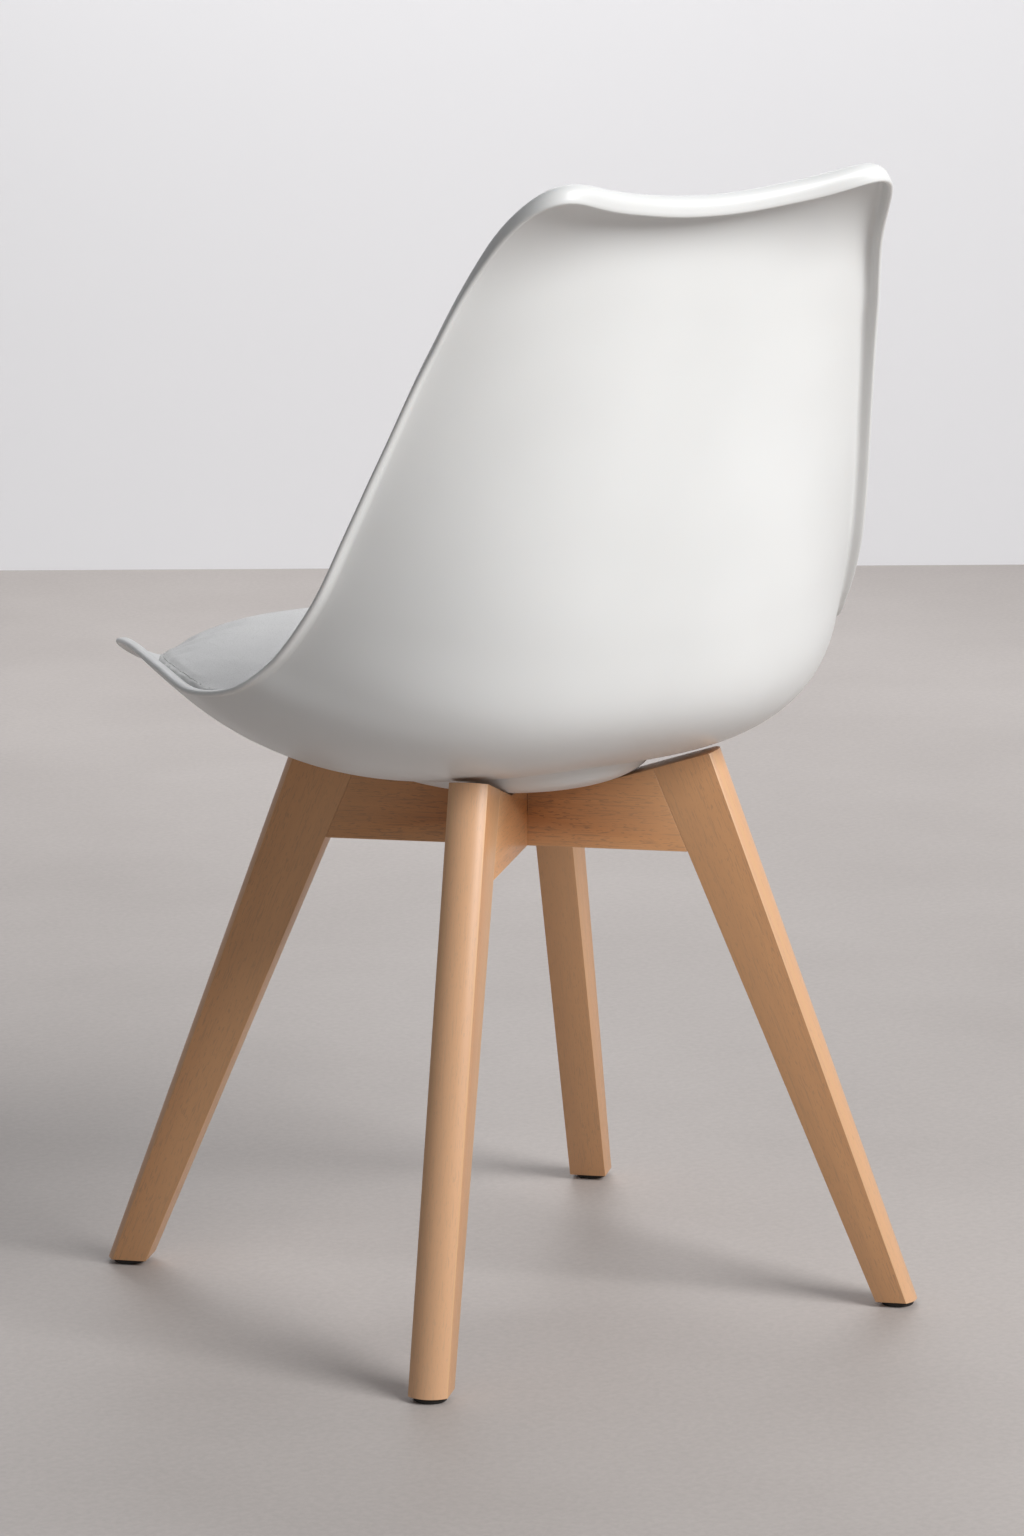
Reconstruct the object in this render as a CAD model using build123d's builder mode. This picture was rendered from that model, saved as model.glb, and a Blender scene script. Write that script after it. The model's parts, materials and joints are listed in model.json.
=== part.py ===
"""Dining chair: one-piece moulded bucket seat on a halved beech cross frame with four splayed legs.

Millimetres. +Z up, the sitter faces -Y, the sitter's left is +X.
The origin is on the floor, under the crossing of the two beams.
"""
from build123d import *
from math import cos, floor, pi, radians, sin, sqrt
import os

os.makedirs("parts", exist_ok=True)

# ---------------------------------------------------------------- driving dimensions
SHELL_THICKNESS = 4.0

# Cross-sections of the seat surface from the top of the back, down and forward to the front edge.
# Each is the middle point (y, z), the side edge (half width, y, z) and how square the section is.
SECTIONS = [
    (235, 804, 139, 300.5, 860, 3.75),
    (219.5, 783.5, 148.5, 218.5, 786, 3.2),
    (208.5, 727, 169, 178, 710.5, 2.8),
    (199, 649, 186, 149, 641.5, 2.6),
    (192, 566, 201, 125, 581.5, 2.6),
    (184, 494, 213.5, 102, 530.5, 2.6),
    (168.5, 439.5, 228, 73, 489, 2.8),
    (125.5, 407.5, 242, 43, 468, 3.1),
    (49, 389, 246, -11, 459, 3.5),
    (-40, 385, 236, -75, 464.5, 3.8),
    (-131, 389, 218, -142, 467, 3.6),
    (-208, 402, 196, -197, 461, 3.2),
    (-251.5, 424, 169, -226.5, 448, 3),
]
LAST = len(SECTIONS) - 1
SEAT_MIDDLE = 8.3                 # section number at the middle of the seat
# how the shell's surface is sampled, from the hub opening to the rim, then round the lip
SEAT_ROWS = (0.13, 0.2, 0.3, 0.4, 0.5, 0.6, 0.7, 0.8, 0.88, 0.95)
BEND_STEPS = 4

# Corners of the rim, as fractions of the half width and as section counts
TOP_CORNER = (0.56, 1.06)
FRONT_CORNER = (0.28, 1.35)
TOP_DIP, TOP_EARS = 0.18, 0.06    # section number of the rim at the middle and at the ears

# Rolled lip: bend radius on the seat side, then how far it bends and runs on, by place
LIP_RADIUS = 7.8
LIP_BEND = {"top": 142, "side": 81, "seat": 60, "front": 51}
LIP_LENGTH = {"top": 6, "side": 6.2, "seat": 2.6, "front": 5.8}

# Hub under the seat
HUB_BOTTOM, HUB_TOP = 369.5, 391.0
HUB_RADIUS = 97.0
HUB_FLAT_RADIUS = 20.0

# Cross frame, in the plane of each beam: r is the distance from the centre
BEAM_UNDERSIDE = 325.5
BEAM_TOP = 372.0
BEAM_FLAT_HALF = 64.0             # the top is level this far out, then slopes up
FRAME_THICKNESS = 27.5
FIT_GAP = 0.1
FOOT_Z = 4.0
LEG_CROWN = 5.5                   # how far the leg's outer face bulges in its middle
# (r of the outer foot, inner foot, inner corner under the beam and outer top corner; top height)
REAR_LEG = (291.8, 264.0, 128.7, 148.9, 398.0)
FRONT_LEG = (302.8, 272.1, 133.4, 159.7, 389.0)

DOWEL_RADIUS, DOWEL_LENGTH = 4.0, 36.0
DOWEL_SPACING = 30.0

# Fasteners
BOLT_CIRCLE = 72.0
BOLT_RADIUS, BOLT_LENGTH = 3.0, 40.0
BOLT_HEAD_RADIUS, BOLT_HEAD_HEIGHT = 5.0, 6.0
BOLT_HOLE_RADIUS = 3.3
COUNTERBORE_RADIUS, COUNTERBORE_DEPTH = 7.5, 20.0
WASHER_RADIUS, WASHER_THICKNESS = 6.0, 1.6
INSERT_RADIUS, INSERT_LENGTH = 4.2, 10.0
LAP_SCREW_RADIUS, LAP_SCREW_LENGTH, LAP_SCREW_HEAD = 2.25, 38.0, 4.5

# Glides
GLIDE_RADIUS = 11.5
NAIL_RADIUS, NAIL_LENGTH = 1.0, 16.0

# Seat cushion
CUSHION_HALF_WIDTH = 0.93         # fraction of the seat's half width
CUSHION_SECTIONS = (5.95, 11.7)   # rear and front edge, as section numbers
CUSHION_GAP = 1.5                 # to the shell
TRAY_THICKNESS = 3.0
COVER_THICKNESS = 1.5
CUSHION_CROWN = 463.0
CROWN_SIDE_FALL, CROWN_FRONT_FALL = 8.0, -4.0      # it rises a little towards the front
CUSHION_EDGE = 8.0                # height of the side at the outline
CUSHION_FIXING_CIRCLE = 58.0
PAD_SCREW_RADIUS, PAD_SCREW_HEAD_RADIUS, PAD_SCREW_HEAD = 2.5, 4.75, 3.5
PAD_COUNTERBORE = 8.0


# ---------------------------------------------------------------- seat surface
def section(s):
    """The section's six values at any place s, by a smooth curve through the sections."""
    i = min(max(int(floor(s)), 0), LAST - 1)
    f = s - i

    def at(k):
        if k < 0:
            return [2 * a - b for a, b in zip(SECTIONS[0], SECTIONS[1])]
        if k > LAST:
            return [2 * a - b for a, b in zip(SECTIONS[-1], SECTIONS[-2])]
        return SECTIONS[k]

    near = zip(at(i - 1), at(i), at(i + 1), at(i + 2))
    return [
        0.5 * (2 * b + (c - a) * f + (2 * a - 5 * b + 4 * c - d) * f**2 + (3 * b - a - 3 * c + d) * f**3)
        for a, b, c, d in near
    ]


def seat_point(u, s):
    """A point of the shell's inner surface: u across (-1 to 1), s down the sections."""
    y_mid, z_mid, half, y_edge, z_edge, square = section(s)
    rise = abs(u) ** square
    return Vector(half * u, y_mid + (y_edge - y_mid) * rise, z_mid + (z_edge - z_mid) * rise)


def seat_normal(u, s, step=1e-3):
    """The outward normal there: rearward on the back, downward under the seat."""
    across = seat_point(u + step, s) - seat_point(u - step, s)
    down = seat_point(u, min(s + step, LAST)) - seat_point(u, max(s - step, 0))
    return across.cross(down).normalized()


def offset_point(u, s, distance):
    """A point at a distance outside (+) or inside (-) the inner surface."""
    return seat_point(u, s) + seat_normal(u, s) * distance


def smooth(x, low, high):
    t = min(max((x - low) / (high - low), 0), 1)
    return t * t * (3 - 2 * t)


def rim(t):
    """Where the lip starts, as (u, s): t is 0 at the front's middle and 1 at the top's middle."""
    front_u, front_s = FRONT_CORNER
    top_u, top_s = TOP_CORNER
    side_start, side_end = LAST - front_s, TOP_EARS + top_s
    if t < 0.18:
        return (1 - front_u) * t / 0.18, LAST
    if t < 0.28:
        a = pi / 2 * (t - 0.18) / 0.10
        return 1 - front_u + front_u * sin(a), side_start + front_s * cos(a)
    if t < 0.74:
        return 1, side_start + (side_end - side_start) * (t - 0.28) / 0.46
    if t < 0.84:
        a = pi / 2 * (t - 0.74) / 0.10
        return 1 - top_u + top_u * cos(a), side_end - top_s * sin(a)
    w = (1 - t) / 0.16
    return (1 - top_u) * w, TOP_DIP + (TOP_EARS - TOP_DIP) * sin(pi / 2 * w) ** 2


def by_place(values, s):
    """Blend a lip value between the top, the sides, the seat's sides and the front."""
    top = 1 - smooth(s, 0.05, 0.8)
    seat = smooth(s, 4.6, 7.2)
    front = smooth(s, LAST - 2.4, LAST - 0.6)
    lower = (1 - front) * values["seat"] + front * values["front"]
    return top * values["top"] + (1 - top) * ((1 - seat) * values["side"] + seat * lower)


def lip_frame(t, step=1e-3):
    """The lip's start point, the surface normal there and the direction away from the seat."""
    u, s = rim(t)
    along = (seat_point(*rim(t + step)) - seat_point(*rim(t - step))).normalized()
    normal = seat_normal(u, s)
    return seat_point(u, s), normal, normal.cross(along).normalized(), s


def shell_column(t):
    """Inner and outer points in three strips: the seat out to the rim, the lip's bend and its run."""
    u, s = rim(t)
    seat, bend_strip, run_strip = [], [], []
    for share in SEAT_ROWS:
        place = (u * share, SEAT_MIDDLE + (s - SEAT_MIDDLE) * share)
        seat.append((seat_point(*place), offset_point(*place, SHELL_THICKNESS)))
    start, normal, away, s = lip_frame(t)
    bend, run = radians(by_place(LIP_BEND, s)), by_place(LIP_LENGTH, s)
    for k in range(BEND_STEPS + 1):
        a = bend * k / BEND_STEPS
        facing = normal * cos(a) - away * sin(a)
        tip = start + away * (LIP_RADIUS * sin(a)) + normal * (LIP_RADIUS * (1 - cos(a)))
        bend_strip.append((tip, tip + facing * SHELL_THICKNESS))
    heading = away * cos(bend) + normal * sin(bend)
    for share in (0, 0.5, 1):
        end = tip + heading * (run * share)
        run_strip.append((end, end + facing * SHELL_THICKNESS))
    return seat + bend_strip[:1], bend_strip, run_strip


def on_middle(point):
    return Vector(0, point.Y, point.Z)


def row_wire(points):
    """A smooth curve along the rim; rows share their parameters so that they loft cleanly."""
    points = [on_middle(points[0])] + points[1:-1] + [on_middle(points[-1])]
    steps = len(points) - 1
    return Wire([Edge.make_spline(points, parameters=[i / steps for i in range(steps + 1)])])


def shell_solid(count=64):
    """The thin shell: lofted strips inside and outside, closed at the hub opening and the lip."""
    columns = [shell_column(i / count) for i in range(count + 1)]
    half, ends = [], []
    for side in (0, 1):
        for k in range(3):
            strips = [column[k] for column in columns]
            wires = [row_wire([strip[i][side] for strip in strips]) for i in range(len(strips[0]))]
            half.append(Shell.make_loft(wires).face())
            ends += wires[:1] if k == 0 else wires[-1:] if k == 2 else []
    hub_inside, lip_inside, hub_outside, lip_outside = [wire.edge() for wire in ends]
    half.append(Face.make_surface_from_curves(hub_inside, hub_outside))
    half.append(Face.make_surface_from_curves(lip_inside, lip_outside))
    return Solid(Shell(half + [face.mirror(Plane.YZ) for face in half]))


# ---------------------------------------------------------------- cushion surfaces
def cushion_place(a, b, share):
    """Map a square (-1 to 1 both ways) to the cushion's rounded outline, as (u, s)."""
    rear, front = CUSHION_SECTIONS
    u = a * sqrt(1 - 0.42 * b * b)
    v = b * sqrt(1 - 0.42 * a * a)
    return CUSHION_HALF_WIDTH * share * u, (rear + front) / 2 + (front - rear) / 2 * share * v


def between(low_grid, high_grid):
    """A closed solid between two grids of points with the same outline in plan."""
    low, high = [Face.make_surface_from_array_of_points(g, tol=0.05) for g in (low_grid, high_grid)]
    walls = []
    for edge in low.edges():
        partner = min(high.edges(), key=lambda e: (e.center() - edge.center()).length)
        walls.append(Face.make_surface_from_curves(edge, partner))
    return Solid(Shell([low, high] + walls))


def seat_grid(share, distance, count=24):
    """Points a distance inside the shell, over a share of the cushion's outline."""
    steps = [-1 + 2 * k / count for k in range(count + 1)]
    return [[offset_point(*cushion_place(a, b, share), -distance) for b in steps] for a in steps]


def tray_solid(share, bottom, top):
    """A thin curved sheet between two distances inside the shell."""
    return between(seat_grid(share, bottom), seat_grid(share, top))


def cushion_solid(share, bottom, crown_drop, count=24):
    """A crowned solid on the seat surface, its underside a distance inside the shell."""
    low_grid = seat_grid(share, bottom, count)
    high_grid = []
    for i, line in enumerate(low_grid):
        a = -1 + 2 * i / count
        high_grid.append([])
        for j, low in enumerate(line):
            b = -1 + 2 * j / count
            fullness = sqrt(sqrt((1 - a**8) * (1 - b**8)))
            crown = CUSHION_CROWN - crown_drop - CROWN_SIDE_FALL * a**4
            crown -= CROWN_FRONT_FALL * smooth(b, 0.2, 1.0)
            height = CUSHION_EDGE + max(crown - low.Z - CUSHION_EDGE, 0) * fullness
            high_grid[-1].append(low + Vector(0, 0, height))
    return between(low_grid, high_grid)


def save(part, name):
    part.label = name
    export_step(part, f"parts/{name}.step")


# ---------------------------------------------------------------- cross frame
LONG_BEAM_ANGLE = 135             # from the front left leg to the rear right leg
CROSS_BEAM_ANGLE = 45             # from the front right leg to the rear left leg


def beam_plane(angle):
    """The upright plane through the centre in which a beam and its two legs lie."""
    out = Vector(cos(radians(angle)), sin(radians(angle)), 0)
    return Plane(origin=(0, 0, 0), x_dir=out, z_dir=out.cross(Vector(0, 0, 1)))


def top_slope(leg):
    return (leg[4] - BEAM_TOP) / (leg[3] - BEAM_FLAT_HALF)


def top_at(r, leg):
    """Height of the frame's top edge at a distance r from the centre, on a leg's side."""
    return BEAM_TOP + top_slope(leg) * max(r - BEAM_FLAT_HALF, 0)


def joint_top(leg):
    """Where the leg's inner edge, carried on upwards, meets the sloping top edge."""
    inner_foot, corner = leg[1:3]
    lean = (inner_foot - corner) / (BEAM_UNDERSIDE - FOOT_Z)
    rise = (top_at(corner, leg) - BEAM_UNDERSIDE) / (1 + top_slope(leg) * lean)
    return corner - lean * rise, BEAM_UNDERSIDE + rise


def beam_outline():
    """Corners of a beam, from the front end (r below zero) to the rear end."""
    front_r, front_z = joint_top(FRONT_LEG)
    rear_r, rear_z = joint_top(REAR_LEG)
    return [
        (-FRONT_LEG[2], BEAM_UNDERSIDE),
        (REAR_LEG[2], BEAM_UNDERSIDE),
        (rear_r, rear_z),
        (BEAM_FLAT_HALF, BEAM_TOP),
        (-BEAM_FLAT_HALF, BEAM_TOP),
        (-front_r, front_z),
    ]


def dowel_planes(angle, leg, side):
    """Planes across the leg joint, at the middle of each dowel, with z along the dowel."""
    top_r, top_z = joint_top(leg)
    corner = leg[2]
    joint = Vector(top_r - corner, top_z - BEAM_UNDERSIDE, 0).normalized()
    middle_r, middle_z = (top_r + corner) / 2, (top_z + BEAM_UNDERSIDE) / 2
    out = Vector(cos(radians(angle)), sin(radians(angle)), 0) * side
    heading = out * joint.Y + Vector(0, 0, -joint.X)
    planes = []
    for k in (-0.5, 0.5):
        r = middle_r + joint.X * DOWEL_SPACING * k
        z = middle_z + joint.Y * DOWEL_SPACING * k
        planes.append(Plane(origin=out * r + Vector(0, 0, z), z_dir=heading))
    return planes


LEGS = {
    "leg_front_left": (LONG_BEAM_ANGLE, FRONT_LEG, -1),
    "leg_rear_right": (LONG_BEAM_ANGLE, REAR_LEG, 1),
    "leg_front_right": (CROSS_BEAM_ANGLE, FRONT_LEG, -1),
    "leg_rear_left": (CROSS_BEAM_ANGLE, REAR_LEG, 1),
}
LAP_LEVEL = (BEAM_UNDERSIDE + BEAM_TOP) / 2


def on_circle(radius, angles):
    return [(radius * cos(radians(a)), radius * sin(radians(a))) for a in angles]


BOLT_SPOTS = on_circle(BOLT_CIRCLE, (45, 135, 225, 315))
PAD_SPOTS = on_circle(CUSHION_FIXING_CIRCLE, (0, 90, 180, 270))
BOLT_HEAD_Z = BEAM_UNDERSIDE + COUNTERBORE_DEPTH - 2 * WASHER_THICKNESS
INSERT_Z = top_at(BOLT_CIRCLE + INSERT_RADIUS, REAR_LEG) + 0.3

for name, angle, keep_low in (
    ("beam_long", LONG_BEAM_ANGLE, True),
    ("beam_cross", CROSS_BEAM_ANGLE, False),
):
    with BuildPart() as beam:
        with BuildSketch(beam_plane(angle)):
            with BuildLine():
                Polyline(*beam_outline(), close=True)
            make_face()
        extrude(amount=FRAME_THICKNESS / 2, both=True)
        # halved joint: one beam keeps its lower half, the other its upper half
        notch = FRAME_THICKNESS + 2 * FIT_GAP
        base = LAP_LEVEL - FIT_GAP / 2 if keep_low else BEAM_UNDERSIDE - 1
        height = BEAM_TOP - LAP_LEVEL + 2 if keep_low else LAP_LEVEL - BEAM_UNDERSIDE + 1 + FIT_GAP / 2
        with BuildSketch(Plane.XY.offset(base)):
            Rectangle(notch, 60, rotation=angle)
        extrude(amount=height, mode=Mode.SUBTRACT)
        # bolt holes, counterbored from below
        spots = [p for p in BOLT_SPOTS if abs(p[0] * sin(radians(angle)) - p[1] * cos(radians(angle))) < 1]
        with BuildSketch(Plane.XY.offset(BEAM_UNDERSIDE - 1)):
            with Locations(*spots):
                Circle(BOLT_HOLE_RADIUS)
        extrude(amount=100, mode=Mode.SUBTRACT)
        with BuildSketch(Plane.XY.offset(BEAM_UNDERSIDE - 1)):
            with Locations(*spots):
                Circle(COUNTERBORE_RADIUS)
        extrude(amount=COUNTERBORE_DEPTH + 1, mode=Mode.SUBTRACT)
        # screw hole through the crossing
        with BuildSketch(Plane.XY.offset(BEAM_UNDERSIDE)):
            Circle(LAP_SCREW_RADIUS)
        extrude(amount=LAP_SCREW_LENGTH, mode=Mode.SUBTRACT)
        if keep_low:
            with BuildSketch(Plane.XY.offset(BEAM_UNDERSIDE)):
                Circle(LAP_SCREW_HEAD)
            with BuildSketch(Plane.XY.offset(BEAM_UNDERSIDE + LAP_SCREW_HEAD - LAP_SCREW_RADIUS)):
                Circle(LAP_SCREW_RADIUS)
            loft(mode=Mode.SUBTRACT)
        # dowel holes in both ends
        for leg_angle, leg, side in LEGS.values():
            if leg_angle == angle:
                for plane in dowel_planes(angle, leg, side):
                    with BuildSketch(plane):
                        Circle(DOWEL_RADIUS)
                    extrude(amount=DOWEL_LENGTH / 2, both=True, mode=Mode.SUBTRACT)
    save(beam.part, name)

for name, (angle, leg, side) in LEGS.items():
    outer_foot, inner_foot, corner, top_corner, leg_top = leg
    top_r, top_z = joint_top(leg)
    with BuildPart() as leg_part:
        with BuildSketch(beam_plane(angle)):
            with BuildLine():
                outline = [
                    (outer_foot, FOOT_Z),
                    (top_corner, leg_top),
                    (top_r, top_z),
                    (inner_foot, FOOT_Z),
                ]
                Polyline(*[(side * r, z) for r, z in outline], close=True)
            make_face()
        extrude(amount=FRAME_THICKNESS / 2, both=True)
        # the outer face is crowned from side to side
        outward = Vector(cos(radians(angle)), sin(radians(angle)), 0) * side
        heading = (outward * (top_corner - outer_foot) + Vector(0, 0, leg_top - FOOT_Z)).normalized()
        across = heading.cross(outward).normalized()
        start = outward * outer_foot + Vector(0, 0, FOOT_Z) - heading * 40
        half, wide = FRAME_THICKNESS / 2, FRAME_THICKNESS / 2 + 1
        radius = (half**2 + LEG_CROWN**2) / (2 * LEG_CROWN)
        depth = radius - sqrt(radius**2 - wide**2)
        with BuildSketch(Plane(origin=start, x_dir=across.cross(heading), z_dir=heading)):
            with BuildLine():
                crown = ThreePointArc((-depth, -wide), (0, 0), (-depth, wide))
                Polyline(crown @ 1, (-170, wide), (-170, -wide), crown @ 0)
            make_face()
        extrude(amount=520, mode=Mode.INTERSECT)
        for plane in dowel_planes(angle, leg, side):
            with BuildSketch(plane):
                Circle(DOWEL_RADIUS)
            extrude(amount=DOWEL_LENGTH / 2, both=True, mode=Mode.SUBTRACT)
        foot = outward * ((outer_foot + inner_foot) / 2)
        with BuildSketch(Plane(origin=(foot.X, foot.Y, FOOT_Z), z_dir=(0, 0, 1))):
            Circle(NAIL_RADIUS)
        extrude(amount=NAIL_LENGTH, mode=Mode.SUBTRACT)
    save(leg_part.part, name)

with BuildPart() as dowels:
    for angle, leg, side in LEGS.values():
        for plane in dowel_planes(angle, leg, side):
            with BuildSketch(plane):
                Circle(DOWEL_RADIUS)
            extrude(amount=DOWEL_LENGTH / 2, both=True)
save(dowels.part, "leg_dowels")

# ---------------------------------------------------------------- glides
FEET = {}
for name, (angle, leg, side) in LEGS.items():
    reach = side * (leg[0] + leg[1]) / 2
    FEET[name.replace("leg", "glide")] = (reach * cos(radians(angle)), reach * sin(radians(angle)))

for name, (x, y) in FEET.items():
    with BuildPart() as glide:
        with BuildSketch(Plane(origin=(x, y, 0), z_dir=(0, 0, 1))):
            Circle(GLIDE_RADIUS)
        extrude(amount=FOOT_Z)
        fillet(glide.edges().group_by(Axis.Z)[0], 1.2)
        with BuildSketch(Plane(origin=(x, y, 1.5), z_dir=(0, 0, 1))):
            Circle(NAIL_RADIUS * 2.5)
        extrude(amount=1.2, mode=Mode.SUBTRACT)
        with BuildSketch(Plane(origin=(x, y, 1.5), z_dir=(0, 0, 1))):
            Circle(NAIL_RADIUS)
        extrude(amount=FOOT_Z, mode=Mode.SUBTRACT)
    save(glide.part, name)

with BuildPart() as nails:
    for x, y in FEET.values():
        with BuildSketch(Plane(origin=(x, y, 1.5), z_dir=(0, 0, 1))):
            Circle(NAIL_RADIUS * 2.5)
        extrude(amount=1.2)
        with BuildSketch(Plane(origin=(x, y, 2.7), z_dir=(0, 0, 1))):
            Circle(NAIL_RADIUS)
        extrude(amount=NAIL_LENGTH - 2)
save(nails.part, "glide_nails")

# ---------------------------------------------------------------- seat shell
with BuildPart() as hub:
    with BuildSketch(Plane.XZ):
        with BuildLine():
            Line((0, HUB_BOTTOM), (HUB_FLAT_RADIUS, HUB_BOTTOM))
            roll = EllipticalCenterArc(
                (HUB_FLAT_RADIUS, HUB_TOP),
                HUB_RADIUS - HUB_FLAT_RADIUS,
                HUB_TOP - HUB_BOTTOM,
                start_angle=270,
                arc_size=90,
            )
            Polyline(roll @ 1, (HUB_RADIUS, 430), (0, 430), (0, HUB_BOTTOM))
        make_face()
    revolve(axis=Axis.Z)
    # everything above the middle of the seat's wall is removed
    steps = [k / 6 - 1 for k in range(13)]
    wall = [[offset_point(0.45 * a, SEAT_MIDDLE + 1.8 * b, 2) for b in steps] for a in steps]
    extrude(Face.make_surface_from_array_of_points(wall, tol=0.05), amount=90, dir=(0, 0, 1),
            mode=Mode.SUBTRACT)

with BuildPart() as seat_shell:
    add(shell_solid())
    add(hub.part)
    # cross-shaped socket over the beams, a little wider than they are
    for angle in (LONG_BEAM_ANGLE, CROSS_BEAM_ANGLE):
        reach = HUB_RADIUS + 6
        with BuildSketch(beam_plane(angle)):
            with BuildLine():
                Polyline(
                    (-reach, top_at(reach, FRONT_LEG) + 0.5),
                    (-BEAM_FLAT_HALF, BEAM_TOP + 0.5),
                    (BEAM_FLAT_HALF, BEAM_TOP + 0.5),
                    (reach, top_at(reach, REAR_LEG) + 0.5),
                    (reach, HUB_BOTTOM - 5),
                    (-reach, HUB_BOTTOM - 5),
                    close=True,
                )
            make_face()
        extrude(amount=FRAME_THICKNESS / 2 + 0.6, both=True, mode=Mode.SUBTRACT)
    with BuildSketch(Plane.XY.offset(INSERT_Z - 6)):
        with Locations(*BOLT_SPOTS):
            Circle(INSERT_RADIUS)
    extrude(amount=INSERT_LENGTH + 6, mode=Mode.SUBTRACT)
    # screw holes for the cushion, from below
    with BuildSketch(Plane.XY.offset(HUB_BOTTOM - 5)):
        with Locations(*PAD_SPOTS):
            Circle(PAD_SCREW_RADIUS + 0.3)
    extrude(amount=60, mode=Mode.SUBTRACT)
    with BuildSketch(Plane.XY.offset(HUB_BOTTOM - 5)):
        with Locations(*PAD_SPOTS):
            Circle(PAD_SCREW_HEAD_RADIUS + 0.6)
    extrude(amount=PAD_COUNTERBORE + 5, mode=Mode.SUBTRACT)
save(seat_shell.part, "seat_shell")

# ---------------------------------------------------------------- bolts, washers and inserts
with BuildPart() as inserts:
    with BuildSketch(Plane.XY.offset(INSERT_Z)):
        with Locations(*BOLT_SPOTS):
            Circle(INSERT_RADIUS)
            Circle(BOLT_RADIUS, mode=Mode.SUBTRACT)
    extrude(amount=INSERT_LENGTH)
save(inserts.part, "shell_inserts")

with BuildPart() as bolts:
    with BuildSketch(Plane.XY.offset(BOLT_HEAD_Z)):
        with Locations(*BOLT_SPOTS):
            Circle(BOLT_RADIUS)
    extrude(amount=BOLT_LENGTH)
    with BuildSketch(Plane.XY.offset(BOLT_HEAD_Z - BOLT_HEAD_HEIGHT)):
        with Locations(*BOLT_SPOTS):
            Circle(BOLT_HEAD_RADIUS)
    extrude(amount=BOLT_HEAD_HEIGHT)
    with BuildSketch(Plane.XY.offset(BOLT_HEAD_Z - BOLT_HEAD_HEIGHT)):
        with Locations(*BOLT_SPOTS):
            RegularPolygon(2.5, 6, major_radius=False)
    extrude(amount=3, mode=Mode.SUBTRACT)
save(bolts.part, "shell_bolts")

with BuildPart() as spring_washers:
    with BuildSketch(Plane.XY.offset(BOLT_HEAD_Z)):
        with Locations(*BOLT_SPOTS):
            Circle(WASHER_RADIUS - 1)
            Circle(BOLT_HOLE_RADIUS, mode=Mode.SUBTRACT)
    extrude(amount=WASHER_THICKNESS)
save(spring_washers.part, "spring_washers")

with BuildPart() as washers:
    with BuildSketch(Plane.XY.offset(BOLT_HEAD_Z + WASHER_THICKNESS)):
        with Locations(*BOLT_SPOTS):
            Circle(WASHER_RADIUS)
            Circle(BOLT_HOLE_RADIUS, mode=Mode.SUBTRACT)
    extrude(amount=WASHER_THICKNESS)
save(washers.part, "flat_washers")

with BuildPart() as lap_screw:
    with BuildSketch(Plane.XY.offset(BEAM_UNDERSIDE)):
        Circle(LAP_SCREW_HEAD)
    with BuildSketch(Plane.XY.offset(BEAM_UNDERSIDE + LAP_SCREW_HEAD - LAP_SCREW_RADIUS)):
        Circle(LAP_SCREW_RADIUS)
    loft()
    with BuildSketch(Plane.XY.offset(BEAM_UNDERSIDE + LAP_SCREW_HEAD - LAP_SCREW_RADIUS)):
        Circle(LAP_SCREW_RADIUS)
    extrude(amount=LAP_SCREW_LENGTH - LAP_SCREW_HEAD + LAP_SCREW_RADIUS)
save(lap_screw.part, "lap_screw")

# ---------------------------------------------------------------- seat cushion
TRAY_TOP = CUSHION_GAP + TRAY_THICKNESS
PAD_NUT_Z = 398.0                 # top of the nuts in the tray

with BuildPart() as cushion_base:
    add(tray_solid(0.90, CUSHION_GAP, TRAY_TOP))
    with BuildSketch(Plane.XY.offset(380)):
        with Locations(*PAD_SPOTS):
            Circle(4)
    extrude(amount=40, mode=Mode.SUBTRACT)
save(cushion_base.part, "cushion_base")

with BuildPart() as nuts:
    with BuildSketch(Plane.XY.offset(PAD_NUT_Z - 1.2)):
        with Locations(*PAD_SPOTS):
            Circle(8)
            Circle(PAD_SCREW_RADIUS, mode=Mode.SUBTRACT)
    extrude(amount=1.2)
    with BuildSketch(Plane.XY.offset(PAD_NUT_Z - 5)):
        with Locations(*PAD_SPOTS):
            Circle(3.8)
            Circle(PAD_SCREW_RADIUS, mode=Mode.SUBTRACT)
    extrude(amount=5)
save(nuts.part, "cushion_nuts")

with BuildPart() as pad_screws:
    with BuildSketch(Plane.XY.offset(HUB_BOTTOM + PAD_COUNTERBORE - PAD_SCREW_HEAD)):
        with Locations(*PAD_SPOTS):
            Circle(PAD_SCREW_HEAD_RADIUS)
    extrude(amount=PAD_SCREW_HEAD)
    with BuildSketch(Plane.XY.offset(HUB_BOTTOM + PAD_COUNTERBORE)):
        with Locations(*PAD_SPOTS):
            Circle(PAD_SCREW_RADIUS)
    extrude(amount=PAD_NUT_Z - HUB_BOTTOM - PAD_COUNTERBORE)
save(pad_screws.part, "cushion_screws")

with BuildPart() as cushion_foam:
    add(cushion_solid(0.955, TRAY_TOP + 0.6, COVER_THICKNESS + 1.8))
    with BuildSketch(Plane.XY.offset(380)):
        with Locations(*PAD_SPOTS):
            Circle(9)
    extrude(amount=PAD_NUT_Z + 1 - 380, mode=Mode.SUBTRACT)
save(cushion_foam.part, "cushion_foam")

with BuildPart() as cushion_cover:
    add(cushion_solid(1.0, CUSHION_GAP, 0))
    add(cushion_solid(0.975, TRAY_TOP + 0.2, COVER_THICKNESS), mode=Mode.SUBTRACT)
    add(tray_solid(0.905, -3, TRAY_TOP + 3), mode=Mode.SUBTRACT)
save(cushion_cover.part, "cushion_cover")
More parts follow.
